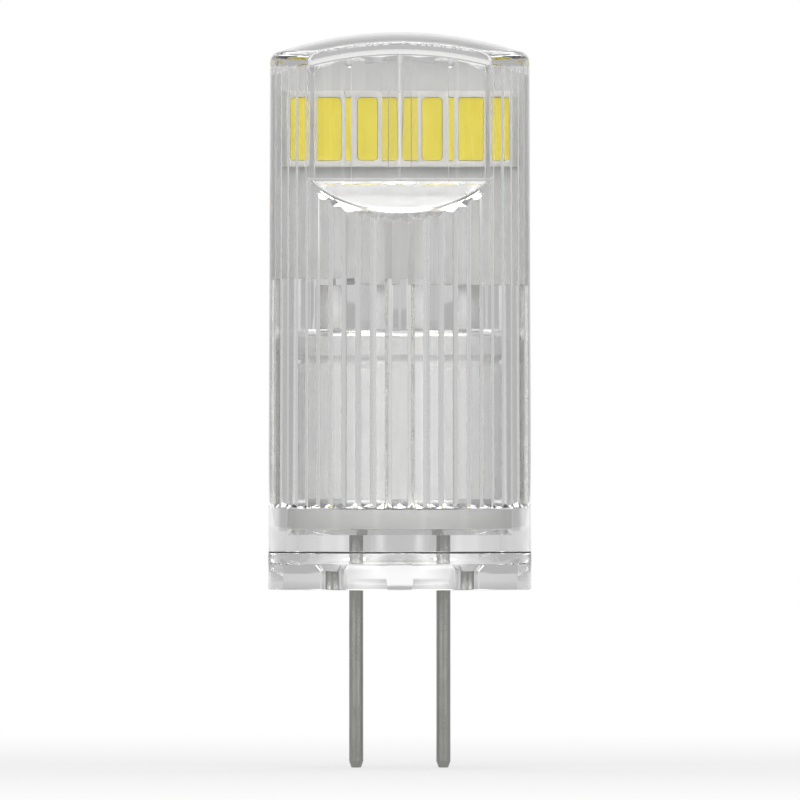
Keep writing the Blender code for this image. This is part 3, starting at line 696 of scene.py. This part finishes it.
def build_cavity():
    """The cover's hollow: flutes under a dome, windows with prisms, and the bore for the spigot."""
    star = []
    for k in range(2 * FLUTE_COUNT):
        turn = math.pi * k / FLUTE_COUNT
        r = FLUTE_TIP_RADIUS if k % 2 == 0 else FLUTE_ROOT_RADIUS
        star.append((r * math.sin(turn), -r * math.cos(turn)))
    cavity = prism("cavity", star, CAVITY_BOTTOM, COVER_TOP + CAVITY_OVER)

    dome = inner_dome()
    boolean(cavity, dome, "INTERSECT")
    spare = [dome]
    # height of the inner shelf's plane at the depth of the prisms' base
    lift = SHELF_WALL * math.hypot(1.0, SHELF_FALL)
    bottom = WINDOW_BOTTOM + SHELF_FALL * (WINDOW_DEPTH - PRISM_BASE_DEPTH) - lift
    for side in (-1, 1):
        block = wedge(f"inner_wedge_{side}", PRISM_BASE_DEPTH, bottom, side)
        boolean(cavity, block)
        zigzag = window_prisms(f"inner_prisms_{side}", bottom, side)
        boolean(cavity, zigzag)
        spare += [block, zigzag]

    runout_top = BORE_TOP + FLUTE_RUNOUT
    bore = turned("cavity_bore", [
        (0.0, runout_top), (FLUTE_TIP_RADIUS - RUNOUT_INSET, runout_top), (BORE_RADIUS, BORE_TOP),
        (BORE_RADIUS, 0.0), (0.0, 0.0),
    ], MOULDING_POINTS)
    boolean(cavity, bore, "UNION")
    apply_modifiers(cavity)
    discard(*spare, bore)
    return cavity


def build_cover(finish):
    rings = cover_rings(cover_turns())
    cover = closed_loft("cover_moulding", rings, apex=(0, 0, COVER_TOP), foot=(0, 0, COVER_BOTTOM))
    cavity = build_cavity()
    boolean(cover, cavity)
    apply_modifiers(cover)
    discard(cavity)
    coat(cover, finish, MOULDING_SHARP)
    return cover


# Base

def rounded(corner_r, corner_z, radius, start, end, rows):
    """Points of a fillet about a centre, between two turns in degrees from the outward direction."""
    points = []
    for k in range(rows + 1):
        turn = math.radians(start + (end - start) * k / rows)
        points.append((corner_r + radius * math.cos(turn), corner_z + radius * math.sin(turn)))
    return points


def build_base(finish):
    spigot = BORE_RADIUS - SLIDE
    inner = spigot - SPIGOT_WALL
    top = FLANGE_HEIGHT + SPIGOT_HEIGHT
    profile = [
        (0.0, FLOOR_HEIGHT), (inner - FLOOR_SOFT, FLOOR_HEIGHT), (inner, FLOOR_HEIGHT + FLOOR_SOFT),
        (inner, top), (spigot - SPIGOT_CHAMFER, top), (spigot, top - SPIGOT_CHAMFER),
        (spigot, FLANGE_HEIGHT),
    ]
    soft = FLANGE_SOFT
    edge = FLANGE_EDGE
    profile += rounded(FLANGE_RADIUS - soft, FLANGE_HEIGHT - soft, soft, start=90, end=0, rows=3)
    profile += rounded(FLANGE_RADIUS - edge, edge, edge, start=0, end=-90, rows=4)
    profile += [(0.0, 0.0)]
    base = turned("base_moulding", profile, MOULDING_POINTS)
    spare = []
    hole = PIN_DIAMETER / 2 + SLIDE
    sink = PIN_SINK_DIAMETER / 2
    for side in (-1, 1):
        drill = turned(f"base_drill_{side}", [
            (0.0, top), (sink, top), (sink, FLOOR_HEIGHT), (hole, FLOOR_HEIGHT - PIN_SINK_DEPTH),
            (hole, -DRILL_OVER), (0.0, -DRILL_OVER),
        ], DRILL_POINTS)
        drill.location.x = side * PIN_PITCH / 2
        boolean(base, drill)
        w = NOTCH_WIDTH / 2
        near = FLANGE_RADIUS - NOTCH_REACH
        far = FLANGE_RADIUS + NOTCH_REACH
        outline = [(-w, side * near), (w, side * near), (w, side * far), (-w, side * far)]
        notch = prism(f"base_notch_{side}", outline, -NOTCH_DEPTH, NOTCH_DEPTH)
        boolean(base, notch)
        spare += [drill, notch]
    apply_modifiers(base)
    discard(*spare)
    coat(base, finish, MOULDING_SHARP)
    return base


# Pieces inside

def dress(made, node, finish):
    """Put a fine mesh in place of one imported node."""
    coat(made, finish, PIECE_SHARP)
    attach(made, "root")
    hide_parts(node)


def build_pin(node):
    low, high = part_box(node)
    radius = (high.x - low.x) / 2
    tip = PIN_TIP_DIAMETER / 2
    soft = PIN_SOFT
    shank = low.z + PIN_TIP_LENGTH
    # the tip's two edges are softened by less than the shank's
    profile = [
        (0.0, high.z), (radius - soft, high.z), (radius, high.z - soft), (radius, shank + soft),
        (radius - 0.2 * soft, shank), (tip + 0.3 * soft, low.z + 0.5 * soft),
        (tip - 0.5 * soft, low.z), (0.0, low.z),
    ]
    pin = turned(f"{node}_fine", profile, PIN_POINTS)
    for vertex in pin.data.vertices:
        vertex.co.x += (low.x + high.x) / 2
    return pin


def crimp(radius, middle, rows=16):
    """Smooth groove round the can: a raised cosine, from its top down."""
    points = []
    for k in range(rows + 1):
        t = k / rows
        dip = CRIMP_DEPTH * 0.5 * (1.0 - math.cos(2 * math.pi * t))
        points.append((radius - dip, middle + CRIMP_WIDTH * (0.5 - t)))
    return points


def build_can():
    low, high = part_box("capacitor_can")
    bung_low, bung_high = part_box("capacitor_bung")
    core = (high.x - low.x) / 2
    bung = (bung_high.x - bung_low.x) / 2
    recess = bung + SLIDE
    sink = high.z - BUNG_SINK
    edge = CAN_EDGE
    profile = [(0.0, sink), (recess, sink), (recess, high.z - edge / 2), (bung + edge, high.z)]
    profile += rounded(core - edge, high.z - edge, edge, start=90, end=0, rows=6)
    profile += crimp(core, high.z - CRIMP_DROP)
    profile += rounded(core - edge, low.z + edge, edge, start=0, end=-90, rows=6)
    profile += [(0.0, low.z)]
    return turned("can_fine", profile, CAN_POINTS)


def build_sleeve():
    low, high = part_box("capacitor_sleeve")
    outer = (high.x - low.x) / 2
    inner = outer - SLEEVE_WALL
    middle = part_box("capacitor_can")[1].z - CRIMP_DROP
    soft = SLEEVE_SOFT
    loop = [(inner, high.z), (outer - soft, high.z), (outer, high.z - soft)]
    loop += crimp(outer, middle)
    loop += [(outer, low.z + soft), (outer - soft, low.z), (inner, low.z)]
    loop += reversed(crimp(inner, middle))
    return ring("sleeve_fine", loop, CAN_POINTS, smooth=True)


def round_rectangle(width, height, corner, rows=6):
    points = []
    for k in range(4):
        cx = (width / 2 - corner) * (1 if k in (0, 3) else -1)
        cy = (height / 2 - corner) * (1 if k in (0, 1) else -1)
        for i in range(rows + 1):
            turn = math.radians(90.0 * (k + i / rows))
            points.append((cx + corner * math.cos(turn), cy + corner * math.sin(turn)))
    return points


def build_fill(node, side):
    """Phosphor fill: its face sinks a little towards the middle, as a cured filling does."""
    low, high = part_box(node)
    cx, cz = (low.x + high.x) / 2, (low.z + high.z) / 2
    face, back = (low.y, high.y) if side < 0 else (high.y, low.y)
    outline = round_rectangle(high.x - low.x, high.z - low.z, FILL_CORNER)
    rings = []
    for share in FILL_SHARES:
        sink = FILL_SINK * (1.0 - share ** FILL_POWER)
        rings.append([(cx + x * share, face - side * sink, cz + z * share) for x, z in outline])
    rings.append([(cx + x, back, cz + z) for x, z in outline])
    apex = (cx, face - side * FILL_SINK, cz)
    return closed_loft(f"{node}_fine", rings, apex, foot=(cx, back, cz))


def soften(node, width):
    """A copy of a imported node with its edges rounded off."""
    source = nodes[node]
    made = bpy.data.objects.new(f"{node}_fine", source.data.copy())
    bpy.context.scene.collection.objects.link(made)
    made.data.transform(source.matrix_world)
    shape = bmesh.new()
    shape.from_mesh(made.data)
    bmesh.ops.remove_doubles(shape, verts=shape.verts, dist=WELD_DISTANCE)
    flat = math.radians(FLAT_ANGLE)
    bmesh.ops.dissolve_limit(shape, angle_limit=flat, verts=shape.verts, edges=shape.edges)
    shape.to_mesh(made.data)
    shape.free()
    bevel = made.modifiers.new("edges", "BEVEL")
    bevel.width = width
    bevel.segments = BEVEL_SEGMENTS
    bevel.limit_method = "ANGLE"
    bevel.angle_limit = math.radians(BEVEL_ANGLE)
    apply_modifiers(made)
    return made


# Clear mouldings, and the ring of painted shade between them
glass = clear_plastic("clear_plastic_look", roughness=0.005)
cover = build_cover(glass)
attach(cover, "root")
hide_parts("clear_cover")
base = build_base(glass)
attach(base, "root")
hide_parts("clear_base")

# a thin near-black ring in the joint of cover and flange, painting the shade seen in the seam
section = [(r * MM, z * MM) for r, z in SEAM_SHADE_SECTION]
seam = ring("seam_shade_line", section, MOULDING_POINTS, smooth=False)
# its near-black colour is painted shade, not a colour of the seam itself
seam_shade_look = mottled("seam_shade_look", (0.02, 0.02, 0.02), roughness=0.6, grain=8.0, spread=0.3)
seam.data.materials.append(seam_shade_look)
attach(seam, "root")

# A look for each material slot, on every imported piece
looks = {
    "clear_plastic": glass,
    "white_solder_mask": board_look("board_look", (0.67, 0.67, 0.66)),
    "white_led_body": mottled("led_body_look", (0.82, 0.81, 0.77), roughness=0.35, grain=9.0, spread=0.05),
    "phosphor": phosphor_look("phosphor_look", (0.99, 0.83, 0.033)),
    "pin_metal": drawn_metal("pin_look", (0.28, 0.28, 0.265), roughness=0.28),
    "tinned_copper": drawn_metal("tin_look", (0.6, 0.6, 0.58), roughness=0.25),
    "can_aluminium": drawn_metal("can_look", (0.78, 0.78, 0.78), roughness=0.3),
    "pale_sleeve": mottled("sleeve_look", (0.87, 0.87, 0.86), roughness=0.45, grain=14.0, spread=0.06),
    "bung_rubber": mottled("bung_look", (0.1, 0.1, 0.1), roughness=0.7, grain=6.0, spread=0.3),
    "moulded_black": mottled("black_look", (0.04, 0.04, 0.045), roughness=0.5, grain=12.0, spread=0.4),
    "ferrite": mottled("ferrite_look", (0.12, 0.12, 0.12), roughness=0.6, grain=10.0, spread=0.4),
    "enamelled_copper": drawn_metal("copper_look", (0.6, 0.26, 0.12), roughness=0.25),
    "ceramic_tan": mottled("tan_look", (0.5, 0.38, 0.26), roughness=0.5, grain=10.0, spread=0.15),
}
for part in frame["record"]["subparts"]:
    node = nodes[part["node"]]
    node.data.materials.clear()
    node.data.materials.append(looks[part["material_slot"]])

# Finer meshes for what shows
for node in ("contact_pin_left", "contact_pin_right"):
    dress(build_pin(node), node, looks["pin_metal"])
dress(build_can(), "capacitor_can", looks["can_aluminium"])
dress(build_sleeve(), "capacitor_sleeve", looks["pale_sleeve"])
for face, side in (("front", -1), ("rear", 1)):
    for word in ("left", "middle", "right"):
        node = f"led_package_{face}_{word}"
        dress(soften(node, PACKAGE_EDGE), node, looks["white_led_body"])
        node = f"phosphor_{face}_{word}"
        dress(build_fill(node, side), node, looks["phosphor"])
for node in ("led_board", "driver_board"):
    dress(soften(node, BOARD_EDGE), node, looks["white_solder_mask"])

# Floor: a large pale sheet just under the pins
floor_z = cad_low.z
far = FLOOR_REACH
corners = [(-far, -far, floor_z), (far, -far, floor_z), (far, far, floor_z), (-far, far, floor_z)]
floor = mesh_object("floor", corners, [(0, 1, 2, 3)], smooth=False)
floor.data.materials.append(floor_look("floor_look"))

bpy.context.scene.world = studio_world("studio")

# Camera
view = bpy.data.cameras.new("camera")
view.sensor_width = SENSOR_MM
view.lens = PX_PER_M * CAMERA_DISTANCE * SENSOR_MM / IMAGE_PX
view.clip_start, view.clip_end = CAMERA_CLIP
camera = bpy.data.objects.new("camera", view)
bpy.context.scene.collection.objects.link(camera)
camera.location = (
    (IMAGE_PX / 2 - CENTRE_COLUMN_PX) / PX_PER_MM * MM,
    -CAMERA_DISTANCE,
    (BASE_ROW_PX - IMAGE_PX / 2) / PX_PER_MM * MM,
)
camera.rotation_euler = (math.radians(90.0), 0.0, 0.0)
bpy.context.scene.camera = camera
bpy.context.scene.view_settings.view_transform = "Standard"

# Light is led along inside the clear pieces by many total reflections
paths = bpy.context.scene.cycles
paths.max_bounces = LIGHT_BOUNCES
paths.glossy_bounces = LIGHT_BOUNCES
paths.transmission_bounces = LIGHT_BOUNCES
